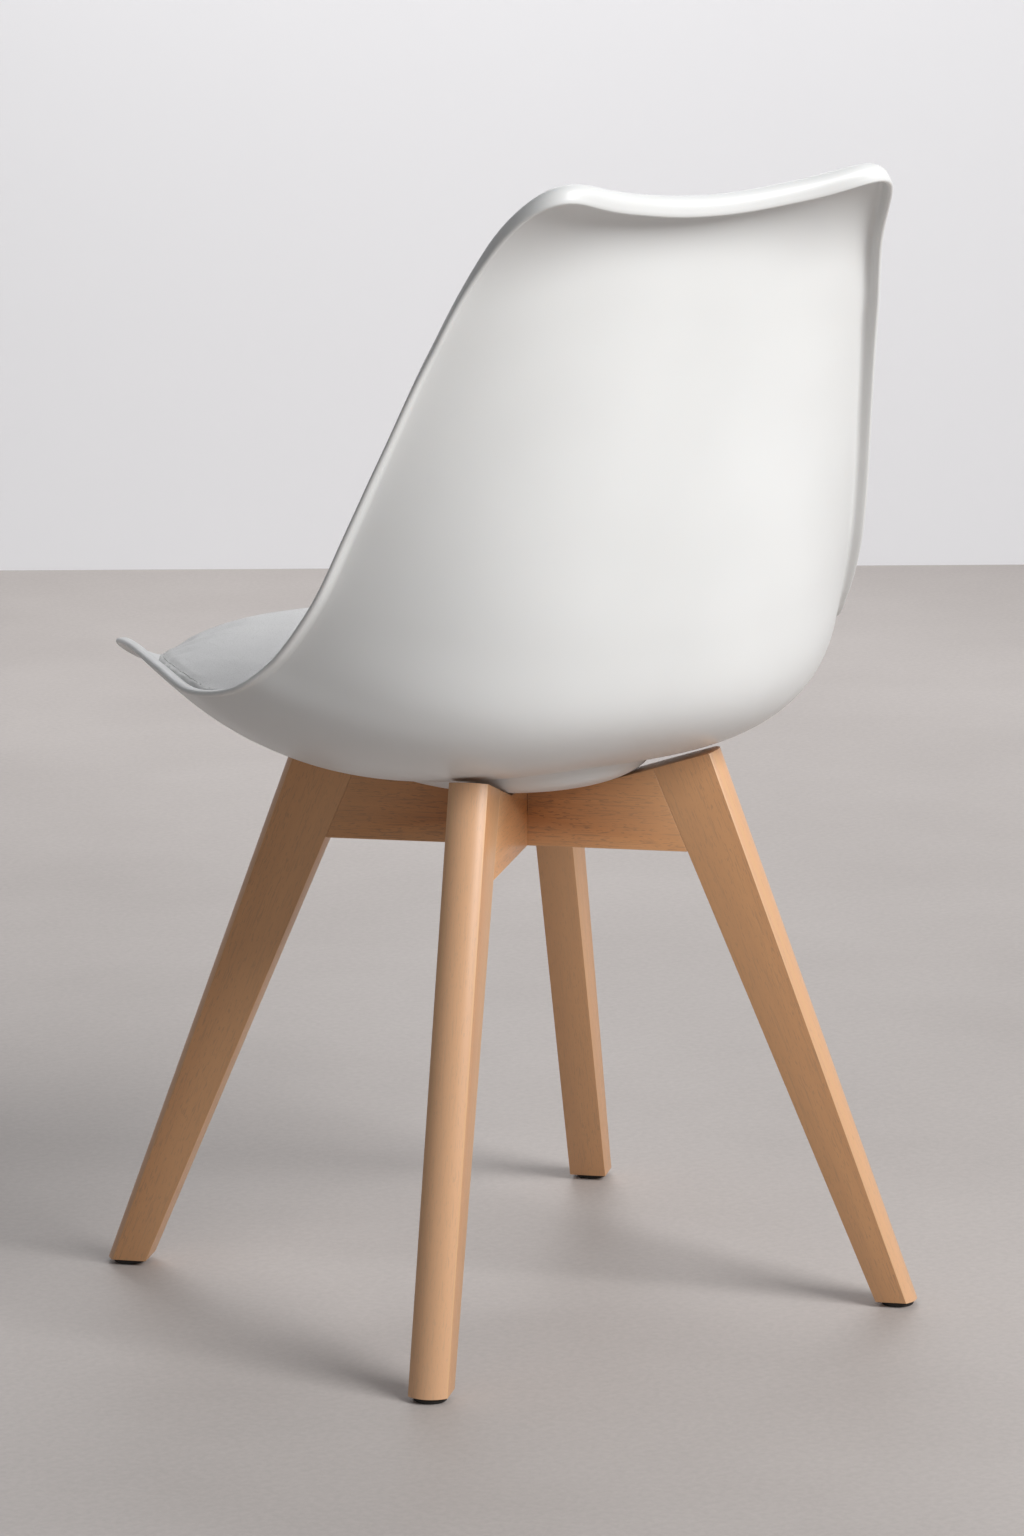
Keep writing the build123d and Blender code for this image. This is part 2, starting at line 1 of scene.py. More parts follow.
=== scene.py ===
"""Dining chair with a moulded bucket seat, a fitted cushion and a crossed beech frame.

Metres in Blender; the chair's own dimensions are kept in millimetres and scaled by MM.
+Z up, the sitter faces -Y, the sitter's left is +X.
"""
import json
import math

import bmesh
import bpy
import numpy as np
from mathutils import Matrix, Vector
from mathutils.bvhtree import BVHTree
from mathutils.kdtree import KDTree


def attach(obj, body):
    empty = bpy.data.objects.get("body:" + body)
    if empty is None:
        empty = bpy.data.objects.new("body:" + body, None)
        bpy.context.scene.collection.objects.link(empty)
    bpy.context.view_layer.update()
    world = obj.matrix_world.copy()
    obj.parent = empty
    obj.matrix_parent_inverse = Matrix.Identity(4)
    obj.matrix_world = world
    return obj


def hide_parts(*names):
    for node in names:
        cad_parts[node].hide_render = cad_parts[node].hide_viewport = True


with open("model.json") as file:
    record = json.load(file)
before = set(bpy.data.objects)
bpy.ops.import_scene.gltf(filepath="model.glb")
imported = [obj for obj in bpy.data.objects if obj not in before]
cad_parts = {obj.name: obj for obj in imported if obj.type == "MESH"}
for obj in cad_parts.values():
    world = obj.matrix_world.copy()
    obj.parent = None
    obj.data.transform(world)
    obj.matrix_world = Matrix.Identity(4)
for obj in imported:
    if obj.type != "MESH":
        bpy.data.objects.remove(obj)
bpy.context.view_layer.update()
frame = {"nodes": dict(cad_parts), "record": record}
MM = 0.001

# ---------------------------------------------------------------- dimensions, in millimetres
SHELL_THICKNESS = 4.0
# middle (y, z), side edge (half width, y, z) and squareness, from the top down and forward
SECTIONS = np.array([
    (235, 804, 139, 300.5, 860, 3.75),
    (219.5, 783.5, 148.5, 218.5, 786, 3.2),
    (208.5, 727, 169, 178, 710.5, 2.8),
    (199, 649, 186, 149, 641.5, 2.6),
    (192, 566, 201, 125, 581.5, 2.6),
    (184, 494, 213.5, 102, 530.5, 2.6),
    (168.5, 439.5, 228, 73, 489, 2.8),
    (125.5, 407.5, 242, 43, 468, 3.1),
    (49, 389, 246, -11, 459, 3.5),
    (-40, 385, 236, -75, 464.5, 3.8),
    (-131, 389, 218, -142, 467, 3.6),
    (-208, 402, 196, -197, 461, 3.2),
    (-251.5, 424, 169, -226.5, 448, 3),
], float)
LAST = len(SECTIONS) - 1
TOP_CORNER = (0.56, 1.06)
FRONT_CORNER = (0.28, 1.35)
TOP_DIP, TOP_EARS = 0.18, 0.06
LIP_RADIUS = 7.8
LIP_BEND = {"top": 142, "side": 81, "seat": 60, "front": 51}
LIP_LENGTH = {"top": 6, "side": 6.2, "seat": 2.6, "front": 5.8}

HUB_BOTTOM, HUB_TOP = 369.5, 391.0
HUB_RADIUS, HUB_FLAT_RADIUS = 97.0, 20.0
HUB_BLEND = 7.0                   # softness of the crease where the hub meets the shell
HUB_CIRCLES = [*range(5, 80, 5), *range(80, 112, 2)]

BEAM_UNDERSIDE, BEAM_TOP, BEAM_FLAT_HALF = 325.5, 372.0, 64.0
FRAME_THICKNESS = 27.5
FOOT_Z = 4.0
LEG_CROWN = 5.5                   # how far the leg's outer face bulges in its middle
LEG_MEAN_RISE = 355.0             # for the slant of the grain
EASED_EDGE = 0.7
REAR_LEG = (291.8, 264.0, 128.7, 148.9, 398.0)
FRONT_LEG = (302.8, 272.1, 133.4, 159.7, 389.0)
LONG_BEAM_ANGLE, CROSS_BEAM_ANGLE = 135, 45
BOLT_CIRCLE, PAD_SCREW_CIRCLE = 72.0, 58.0
COUNTERBORE_RADIUS, COUNTERBORE_DEPTH = 7.5, 20.0
PAD_COUNTERBORE, PAD_HEAD_HOLE_RADIUS = 8.0, 5.35

CUSHION_SECTIONS = (5.95, 11.75)
CUSHION_HALF_WIDTH = 0.945
CUSHION_GAP = 1.2                 # to the shell
CUSHION_CROWN = 461.0
STUFFING_SWELL = 3.5              # most the stuffing may push the cover out
SEAM_SHARE = 0.955                # the seam runs this far out from the middle
SEAM_DEPTH, SEAM_WIDTH = 1.1, 2.2
STITCH_PITCH, STITCH_LENGTH, THREAD_RADIUS = 5.5, 4.0, 0.45


# ---------------------------------------------------------------- helpers
def smooth(x, low, high):
    t = np.clip((x - low) / (high - low), 0, 1)
    return t * t * (3 - 2 * t)


def unit(v):
    return v / np.linalg.norm(v, axis=-1, keepdims=True)


def new_object(name, vertices, faces, material, body="root", replaces=()):
    """A mesh object in metres that rides on a CAD body."""
    mesh = bpy.data.meshes.new(name)
    mesh.from_pydata([tuple(v) for v in vertices], [], [tuple(f) for f in faces])
    bm = bmesh.new()
    bm.from_mesh(mesh)
    bmesh.ops.recalc_face_normals(bm, faces=bm.faces)
    bm.to_mesh(mesh)
    bm.free()
    obj = bpy.data.objects.new(name, mesh)
    bpy.context.scene.collection.objects.link(obj)
    mesh.materials.append(material)
    mesh.shade_smooth()
    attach(obj, body)
    if replaces:
        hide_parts(*replaces)
    return obj


def closed_grid(grid):
    """Vertices in metres and faces of rows of rings, closed with a point at each end."""
    row_count, column_count = grid.shape[:2]
    vertices = list(grid.reshape(-1, 3) * MM)
    faces = []
    for i in range(row_count - 1):
        for j in range(column_count):
            k = (j + 1) % column_count
            faces.append((i * column_count + j, i * column_count + k,
                          (i + 1) * column_count + k, (i + 1) * column_count + j))
    for row in (0, row_count - 1):
        centre = len(vertices)
        vertices.append(grid[row].mean(0) * MM)
        for j in range(column_count):
            a, b = row * column_count + j, row * column_count + (j + 1) % column_count
            faces.append((a, centre, b) if row == 0 else (b, centre, a))
    return vertices, faces


def apply_modifiers(obj):
    """Replace the object's mesh with its evaluated one."""
    bpy.context.view_layer.update()
    graph = bpy.context.evaluated_depsgraph_get()
    mesh = bpy.data.meshes.new_from_object(obj.evaluated_get(graph))
    old = obj.data
    obj.modifiers.clear()
    obj.data = mesh
    mesh.name = obj.name
    bpy.data.meshes.remove(old)
    return obj


def subtract(obj, cutters):
    """Cut the cutter meshes out of the object and remove them."""
    for cutter in cutters:
        modifier = obj.modifiers.new("cut", "BOOLEAN")
        modifier.operation = "DIFFERENCE"
        modifier.solver = "EXACT"
        modifier.object = cutter
        apply_modifiers(obj)
        bpy.data.objects.remove(cutter)


def prism(name, outline, thickness, matrix=Matrix.Identity(4)):
    """A plain closed prism: an outline in local X and Z, thickness along local Y, in millimetres."""
    mesh = bpy.data.meshes.new(name)
    bm = bmesh.new()
    low = [bm.verts.new((x * MM, -thickness / 2 * MM, z * MM)) for x, z in outline]
    high = [bm.verts.new((x * MM, thickness / 2 * MM, z * MM)) for x, z in outline]
    bm.faces.new(low)
    bm.faces.new(list(reversed(high)))
    for i in range(len(outline)):
        j = (i + 1) % len(outline)
        bm.faces.new((low[j], low[i], high[i], high[j]))
    bmesh.ops.recalc_face_normals(bm, faces=bm.faces)
    bm.to_mesh(mesh)
    bm.free()
    obj = bpy.data.objects.new(name, mesh)
    bpy.context.scene.collection.objects.link(obj)
    obj.matrix_world = matrix
    bpy.context.view_layer.update()
    return obj


def cylinder(name, x, y, low, high, radius, segments=48):
    """A plain upright cylinder, in millimetres, used only as a cutter."""
    ring = [(math.cos(2 * math.pi * k / segments), math.sin(2 * math.pi * k / segments))
            for k in range(segments)]
    mesh = bpy.data.meshes.new(name)
    vertices = [((x + radius * c) * MM, (y + radius * s) * MM, z * MM)
                for z in (low, high) for c, s in ring]
    faces = [tuple(reversed(range(segments))), tuple(range(segments, 2 * segments))]
    faces += [(k, (k + 1) % segments, segments + (k + 1) % segments, segments + k) for k in range(segments)]
    mesh.from_pydata(vertices, [], faces)
    obj = bpy.data.objects.new(name, mesh)
    bpy.context.scene.collection.objects.link(obj)
    return obj


# ---------------------------------------------------------------- materials
def material(name, base, roughness):
    """A new principled material, its tree and its shader node."""
    mat = bpy.data.materials.new(name)
    mat.use_nodes = True
    tree = mat.node_tree
    shader = tree.nodes["Principled BSDF"]
    shader.inputs["Base Color"].default_value = (*base, 1)
    shader.inputs["Roughness"].default_value = roughness
    return mat, tree, shader


def add_node(tree, kind, inputs=(), **settings):
    node = tree.nodes.new(kind)
    for key, value in settings.items():
        setattr(node, key, value)
    for key, value in dict(inputs).items():
        node.inputs[key].default_value = value
    return node


def object_position(tree, scale=(1, 1, 1), rotation=(0, 0, 0), location=(0, 0, 0)):
    """The piece's own coordinates in metres, turned and stretched."""
    coordinates = add_node(tree, "ShaderNodeTexCoord")
    mapping = add_node(tree, "ShaderNodeMapping",
                       {"Scale": scale, "Rotation": rotation, "Location": location})
    tree.links.new(coordinates.outputs["Object"], mapping.inputs["Vector"])
    return mapping.outputs["Vector"]


def noise(tree, vector, scale, detail=3.0, roughness=0.5, distortion=0.0):
    node = add_node(tree, "ShaderNodeTexNoise",
                    {"Scale": scale, "Detail": detail, "Roughness": roughness, "Distortion": distortion})
    tree.links.new(vector, node.inputs["Vector"])
    return node.outputs["Fac"]


def ramp(tree, value, stops):
    node = add_node(tree, "ShaderNodeValToRGB")
    elements = node.color_ramp.elements
    while len(elements) < len(stops):
        elements.new(0.5)
    for element, (place, colour) in zip(elements, stops):
        element.position = place
        element.color = (*colour, 1) if len(colour) == 3 else colour
    tree.links.new(value, node.inputs["Fac"])
    return node.outputs["Color"]


def remap(tree, value, low, high, to_low, to_high):
    node = add_node(tree, "ShaderNodeMapRange",
                    {"From Min": low, "From Max": high, "To Min": to_low, "To Max": to_high})
    tree.links.new(value, node.inputs["Value"])
    return node.outputs["Result"]


def mix_colour(tree, factor, first, second, blend="MIX"):
    node = add_node(tree, "ShaderNodeMix", data_type="RGBA", blend_type=blend)
    for socket, value in ((node.inputs[0], factor), (node.inputs[6], first), (node.inputs[7], second)):
        if isinstance(value, bpy.types.NodeSocket):
            tree.links.new(value, socket)
        else:
            socket.default_value = (*value, 1) if isinstance(value, tuple) else value
    return node.outputs[2]


def bump(tree, shader, layers):
    """Chain bump layers, each (height, strength, distance in metres), into the shader's normal."""
    normal = None
    for height, strength, distance in layers:
        node = add_node(tree, "ShaderNodeBump", {"Strength": strength, "Distance": distance})
        tree.links.new(height, node.inputs["Height"])
        if normal is not None:
            tree.links.new(normal, node.inputs["Normal"])
        normal = node.outputs["Normal"]
    tree.links.new(normal, shader.inputs["Normal"])


def edge_wear(tree, low=0.50, high=0.56):
    """A mask that is 1 along convex edges, where the surface wears first."""
    geometry = add_node(tree, "ShaderNodeNewGeometry")
    return remap(tree, geometry.outputs["Pointiness"], low, high, 0.0, 1.0)


def shell_plastic():
    mat, tree, shader = material("shell_plastic", (0.83, 0.83, 0.80), 0.36)
    position = object_position(tree)
    broad = noise(tree, position, 7.0, 2.0)
    colour = ramp(tree, broad, [(0.3, (0.715, 0.720, 0.712)), (0.7, (0.755, 0.760, 0.752))])
    tree.links.new(colour, shader.inputs["Base Color"])
    streaks = noise(tree, position, 55.0, 4.0, 0.6)
    tree.links.new(remap(tree, streaks, 0.3, 0.7, 0.33, 0.42), shader.inputs["Roughness"])
    grain = noise(tree, position, 1600.0, 2.0, 0.5)
    ripple = noise(tree, position, 45.0, 1.0, 0.4)
    bump(tree, shader, [(ripple, 0.10, 0.0006), (grain, 0.10, 0.00012)])
    shader.inputs["IOR"].default_value = 1.49
    shader.inputs["Subsurface Weight"].default_value = 0.06
    shader.inputs["Subsurface Radius"].default_value = (0.006, 0.005, 0.004)
    shader.inputs["Subsurface Scale"].default_value = 0.6
    return mat


def leather():
    mat, tree, shader = material("cushion_leather", (0.78, 0.78, 0.77), 0.5)
    position = object_position(tree)
    cells = add_node(tree, "ShaderNodeTexVoronoi", {"Scale": 620.0, "Randomness": 0.9},
                     feature="DISTANCE_TO_EDGE")
    warp = noise(tree, position, 260.0, 2.0)
    shifted = add_node(tree, "ShaderNodeVectorMath", operation="MULTIPLY_ADD")
    tree.links.new(warp, shifted.inputs[0])
    shifted.inputs[1].default_value = (0.0012, 0.0012, 0.0012)
    tree.links.new(position, shifted.inputs[2])
    tree.links.new(shifted.outputs["Vector"], cells.inputs["Vector"])
    pebble = remap(tree, cells.outputs["Distance"], 0.0, 0.12, 0.0, 1.0)
    soft = noise(tree, position, 22.0, 3.0)
    tint = ramp(tree, soft, [(0.3, (0.74, 0.74, 0.735)), (0.7, (0.80, 0.80, 0.79))])
    colour = mix_colour(tree, pebble, (0.66, 0.66, 0.65), tint)
    tree.links.new(colour, shader.inputs["Base Color"])
    tree.links.new(remap(tree, pebble, 0.0, 1.0, 0.62, 0.46), shader.inputs["Roughness"])
    fine = noise(tree, position, 1900.0, 2.0)
    bump(tree, shader, [(soft, 0.15, 0.0015), (pebble, 0.35, 0.00018), (fine, 0.15, 0.00006)])
    shader.inputs["Sheen Weight"].default_value = 0.08
    shader.inputs["Sheen Roughness"].default_value = 0.5
    return mat


def beech(name, lean, seed, painted_highlight_amount=0.0):
    """Steamed beech; the grain runs along local Z turned by lean about local Y.

    The last argument paints the faces towards local +X, the crowned outer face of a leg, paler: a painted
    highlight where the key light falls strongly.
    """
    mat, tree, shader = material(name, (0.60, 0.36, 0.19), 0.38)
    turned = object_position(tree, rotation=(0, -math.radians(lean), 0),
                             location=(seed * 0.37, seed * 0.11, 0))
    stretch = add_node(tree, "ShaderNodeMapping", {"Scale": (1, 1, 0.045)})
    tree.links.new(turned, stretch.inputs["Vector"])
    along = stretch.outputs["Vector"]
    # broad growth bands
    bands = noise(tree, along, 70.0, 3.0, 0.55, 0.6)
    base = ramp(tree, bands, [(0.28, (0.395, 0.132, 0.031)), (0.50, (0.505, 0.184, 0.047)),
                              (0.74, (0.595, 0.244, 0.072))])
    # fine pores: thin dark lines along the grain
    pores = noise(tree, along, 900.0, 2.0, 0.6)
    pore_mask = remap(tree, pores, 0.56, 0.70, 0.0, 1.0)
    with_pores = mix_colour(tree, pore_mask, base, (0.25, 0.088, 0.028))
    # ray flecks: short brown dashes, a few millimetres long
    fleck_stretch = add_node(tree, "ShaderNodeMapping", {"Scale": (1, 1, 0.16)})
    tree.links.new(turned, fleck_stretch.inputs["Vector"])
    flecks = noise(tree, fleck_stretch.outputs["Vector"], 1150.0, 1.0, 0.4)
    fleck_mask = remap(tree, flecks, 0.61, 0.68, 0.0, 0.9)
    with_flecks = mix_colour(tree, fleck_mask, with_pores, (0.19, 0.062, 0.019))
    blotch = noise(tree, turned, 9.0, 2.0)
    tone = ramp(tree, blotch, [(0.3, (0.93, 0.91, 0.89)), (0.7, (1.04, 1.03, 1.02))])
    colour = mix_colour(tree, 1.0, with_flecks, tone, "MULTIPLY")
    # painted highlight: faces towards local +X are mixed towards a pale peach colour, as if strongly lit
    if painted_highlight_amount:
        facing = add_node(tree, "ShaderNodeSeparateXYZ")
        surface = add_node(tree, "ShaderNodeTexCoord")
        tree.links.new(surface.outputs["Normal"], facing.inputs["Vector"])
        painted_highlight_mask = remap(tree, facing.outputs["X"], 0.35, 0.75, 0.0, painted_highlight_amount)
        colour = mix_colour(tree, painted_highlight_mask, colour, (0.86, 0.58, 0.40))
    worn = mix_colour(tree, edge_wear(tree), colour, (0.66, 0.40, 0.22))
    tree.links.new(worn, shader.inputs["Base Color"])
    tree.links.new(remap(tree, bands, 0.2, 0.8, 0.44, 0.34), shader.inputs["Roughness"])
    bump(tree, shader, [(bands, 0.10, 0.0004), (pore_mask, 0.30, -0.00008), (fleck_mask, 0.2, -0.00005)])
    shader.inputs["Coat Weight"].default_value = 0.10
    shader.inputs["Specular IOR Level"].default_value = 0.35
    shader.inputs["Coat Roughness"].default_value = 0.30
    return mat


def metal(name, base, roughness, scratch):
    mat, tree, shader = material(name, base, roughness)
    shader.inputs["Metallic"].default_value = 1.0
    position = object_position(tree)
    mottle = noise(tree, position, 400.0, 4.0, 0.6)
    dark = tuple(0.72 * c for c in base)
    tree.links.new(ramp(tree, mottle, [(0.3, dark), (0.6, base)]), shader.inputs["Base Color"])
    tree.links.new(remap(tree, mottle, 0.3, 0.7, roughness + 0.12, roughness), shader.inputs["Roughness"])
    bump(tree, shader, [(noise(tree, position, scratch, 2.0), 0.15, 0.00005)])
    return mat


def soft_solid(name, base, roughness, grain, depth):
    """Rubber, foam or black plastic: mottled, with a grain of its own size."""
    mat, tree, shader = material(name, base, roughness)
    position = object_position(tree)
    mottle = noise(tree, position, grain, 4.0, 0.6)
    light = tuple(min(1.0, 1.25 * c + 0.01) for c in base)
    tree.links.new(ramp(tree, mottle, [(0.35, base), (0.7, light)]), shader.inputs["Base Color"])
    tree.links.new(remap(tree, mottle, 0.3, 0.7, roughness - 0.06, roughness + 0.06),
                   shader.inputs["Roughness"])
    bump(tree, shader, [(mottle, 0.4, depth)])
    return mat


PLASTIC = shell_plastic()
LEATHER = leather()
STEEL = metal("zinc_steel", (0.62, 0.62, 0.60), 0.32, 2500.0)
BRASS = metal("brass", (0.75, 0.56, 0.26), 0.30, 2500.0)
RUBBER = soft_solid("glide_rubber", (0.018, 0.015, 0.013), 0.72, 1500.0, 0.0001)
FOAM = soft_solid("cushion_foam", (0.74, 0.66, 0.44), 0.95, 900.0, 0.0006)
TRAY = soft_solid("tray_plastic", (0.03, 0.03, 0.03), 0.55, 700.0, 0.0001)
THREAD = soft_solid("stitch_thread", (0.70, 0.70, 0.69), 0.75, 3000.0, 0.00005)


# ---------------------------------------------------------------- seat surface
def section(s):
    """The six section values at places s, by a smooth curve through the sections."""
    s = np.clip(np.asarray(s, float), 0, LAST)
    i = np.minimum(np.floor(s).astype(int), LAST - 1)
    f = (s - i)[..., None]
    padded = np.vstack([2 * SECTIONS[0] - SECTIONS[1], SECTIONS, 2 * SECTIONS[-1] - SECTIONS[-2]])
    a, b, c, d = padded[i], padded[i + 1], padded[i + 2], padded[i + 3]
    values = 0.5 * (2 * b + (c - a) * f + (2 * a - 5 * b + 4 * c - d) * f**2
                    + (3 * b - a - 3 * c + d) * f**3)
    return np.moveaxis(values, -1, 0)


def seat_point(u, s):
    """A point of the shell's inner surface: u across (-1 to 1), s down the sections."""
    y_mid, z_mid, half, y_edge, z_edge, square = section(s)
    rise = np.abs(u) ** square
    return np.stack([half * u, y_mid + (y_edge - y_mid) * rise, z_mid + (z_edge - z_mid) * rise], -1)


def seat_normal(u, s, step=1e-3):
    """The outward normal there: rearward on the back, downward under the seat."""
    across = seat_point(u + step, s) - seat_point(u - step, s)
    down = seat_point(u, np.minimum(s + step, LAST)) - seat_point(u, np.maximum(s - step, 0))
    return unit(np.cross(across, down))


def place_at(x, y, steps=30):
    """The (u, s) whose point has that plan position, for places on the seat."""
    s = np.interp(-np.asarray(y, float), -SECTIONS[5:, 0], np.arange(5, LAST + 1))
    for _ in range(steps):
        u = x / section(s)[2]
        error = seat_point(u, s)[..., 1] - y
        slope = (seat_point(u, s + 0.01)[..., 1] - seat_point(u, s - 0.01)[..., 1]) / 0.02
        s = np.clip(s - 0.8 * error / slope, 5, LAST)
    return x / section(s)[2], s


def rim(t):
    """Where the lip starts, as (u, s): t is 0 at the front's middle and 1 at the top's middle."""
    t = np.asarray(t, float)
    front_u, front_s = FRONT_CORNER
    top_u, top_s = TOP_CORNER
    side_start, side_end = LAST - front_s, TOP_EARS + top_s
    a = np.pi / 2 * (t - 0.18) / 0.10
    b = np.pi / 2 * (t - 0.74) / 0.10
    w = (1 - t) / 0.16
    spans = [t < 0.18, t < 0.28, t < 0.74, t < 0.84]
    u = np.select(spans, [(1 - front_u) * t / 0.18, 1 - front_u + front_u * np.sin(a), 1 + 0 * t,
                          1 - top_u + top_u * np.cos(b)], (1 - top_u) * w)
    s = np.select(spans, [LAST + 0 * t, side_start + front_s * np.cos(a),
                          side_start + (side_end - side_start) * (t - 0.28) / 0.46,
                          side_end - top_s * np.sin(b)],
                  TOP_DIP + (TOP_EARS - TOP_DIP) * np.sin(np.pi / 2 * w) ** 2)
    return u, s


def by_place(values, s):
    """Blend a lip value between the top, the sides, the seat's sides and the front."""
    top = 1 - smooth(s, 0.05, 0.8)
    seat = smooth(s, 4.6, 7.2)
    front = smooth(s, LAST - 2.4, LAST - 0.6)
    lower = (1 - front) * values["seat"] + front * values["front"]
    return top * values["top"] + (1 - top) * ((1 - seat) * values["side"] + seat * lower)


def hub_height(z, radius):
    """The underside lowered to the hub inside its radius, with a soft crease around it."""
    share = np.clip((radius - HUB_FLAT_RADIUS) / (HUB_RADIUS - HUB_FLAT_RADIUS), 0, 1)
    dome = HUB_TOP - (HUB_TOP - HUB_BOTTOM) * np.sqrt(1 - share**2) + 6 * np.maximum(radius - HUB_RADIUS, 0)
    h = np.clip(0.5 + 0.5 * (z - dome) / HUB_BLEND, 0, 1)
    return z + (dome - z) * h - HUB_BLEND * h * (1 - h)


def shell_columns(t):
    """Rows of points for every column t, from the seat's middle out over the lip and back under."""
    u, s = rim(t)
    middle_s = place_at(np.zeros(1), np.zeros(1))[1][0]
    start = seat_point(u, s)
    normal = seat_normal(u, s)
    step = 1e-3
    along = unit(seat_point(*rim(t + step)) - seat_point(*rim(t - step)))
    away = unit(np.cross(normal, along))
    bend = np.radians(by_place(LIP_BEND, s))
    run = by_place(LIP_LENGTH, s)
    half = SHELL_THICKNESS / 2

    inner = []
    for share in np.linspace(0.03, 0.985, 44):
        inner.append(seat_point(u * share, middle_s + (s - middle_s) * share))
    lip_inner, lip_outer = [start], [start + normal * SHELL_THICKNESS]
    for k in range(1, 11):
        a = (bend * k / 10)[:, None]
        facing = normal * np.cos(a) - away * np.sin(a)
        tip = start + away * (LIP_RADIUS * np.sin(a)) + normal * (LIP_RADIUS * (1 - np.cos(a)))
        lip_inner.append(tip)
        lip_outer.append(tip + facing * SHELL_THICKNESS)
    heading = away * np.cos(bend)[:, None] + normal * np.sin(bend)[:, None]
    middle = tip + facing * half + heading * (run - half)[:, None]
    for share in (0.33, 0.66):
        lip_inner.append(tip + heading * ((run - half) * share)[:, None])
        lip_outer.append(lip_inner[-1] + facing * SHELL_THICKNESS)
    edge = []
    for k in range(0, 9):
        a = np.pi * k / 8
        edge.append(middle - facing * (half * np.cos(a)) + heading * (half * np.sin(a)))

    # underside: circles around the hub, then rays from the last circle out to the lip
    outer = []
    far = seat_point(u * 0.5, middle_s + (s - middle_s) * 0.5)
    angle = np.arctan2(far[:, 1], far[:, 0])
    for radius in HUB_CIRCLES:
        p, q = place_at(radius * np.cos(angle), radius * np.sin(angle))
        point = seat_point(p, q) + seat_normal(p, q) * SHELL_THICKNESS
        point[:, 2] = hub_height(point[:, 2], np.hypot(point[:, 0], point[:, 1]))
        outer.append(point)
    for share in np.linspace(0, 1, 48)[1:-1]:
        there = p + (u - p) * share, q + (s - q) * share
        outer.append(seat_point(*there) + seat_normal(*there) * SHELL_THICKNESS)
    return inner, lip_inner, edge, lip_outer, outer


def seat_shell():
    """The moulded shell as one closed mesh, mirrored about the middle."""
    inner, lip_inner, edge, lip_outer, outer = shell_columns(np.linspace(0, 1, 221))
    grid = np.array(inner + lip_inner + edge[1:-1] + lip_outer[::-1] + outer[::-1])
    grid[:, 0, 0] = 0
    grid[:, -1, 0] = 0
    mirrored = grid[:, -2:0:-1] * np.array([-1, 1, 1])
    grid = np.concatenate([grid, mirrored], axis=1)
    vertices, faces = closed_grid(grid)
    return new_object("seat_shell_moulding", vertices, faces, PLASTIC,
                      replaces=["seat_shell"])


# ---------------------------------------------------------------- cross frame
def top_slope(leg):
    return (leg[4] - BEAM_TOP) / (leg[3] - BEAM_FLAT_HALF)


def top_at(r, leg):
    return BEAM_TOP + top_slope(leg) * max(r - BEAM_FLAT_HALF, 0)


def joint_top(leg):
    """Where the leg's inner edge, carried on upwards, meets the sloping top edge."""
    inner_foot, corner = leg[1:3]
    lean = (inner_foot - corner) / (BEAM_UNDERSIDE - FOOT_Z)
    rise = (top_at(corner, leg) - BEAM_UNDERSIDE) / (1 + top_slope(leg) * lean)
    return corner - lean * rise, BEAM_UNDERSIDE + rise


def socket_cutters():
    """The cross-shaped socket in the hub, a little wider than the beams."""
    reach = HUB_RADIUS + 6
    outline = [
        (-reach, top_at(reach, FRONT_LEG) + 0.5),
        (-BEAM_FLAT_HALF, BEAM_TOP + 0.5),
        (BEAM_FLAT_HALF, BEAM_TOP + 0.5),
        (reach, top_at(reach, REAR_LEG) + 0.5),
        (reach, HUB_BOTTOM - 5),
        (-reach, HUB_BOTTOM - 5),
    ]
    return [prism("cutter", outline, FRAME_THICKNESS + 1.2, Matrix.Rotation(math.radians(a), 4, "Z"))
            for a in (LONG_BEAM_ANGLE, CROSS_BEAM_ANGLE)]


def finish_wood(obj, name, mat, node):
    """Ease the edges, then ride on the frame and stand for the CAD node."""
    modifier = obj.modifiers.new("eased", "BEVEL")
    modifier.width = EASED_EDGE * MM
    modifier.segments = 3
    modifier.limit_method = "ANGLE"
    modifier.angle_limit = math.radians(35)
    apply_modifiers(obj)
    obj.name = name
    obj.data.materials.clear()
    obj.data.materials.append(mat)
    obj.data.shade_smooth()
    obj.data.set_sharp_from_angle(angle=math.radians(32))
    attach(obj, "root")
    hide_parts(node)
    return obj


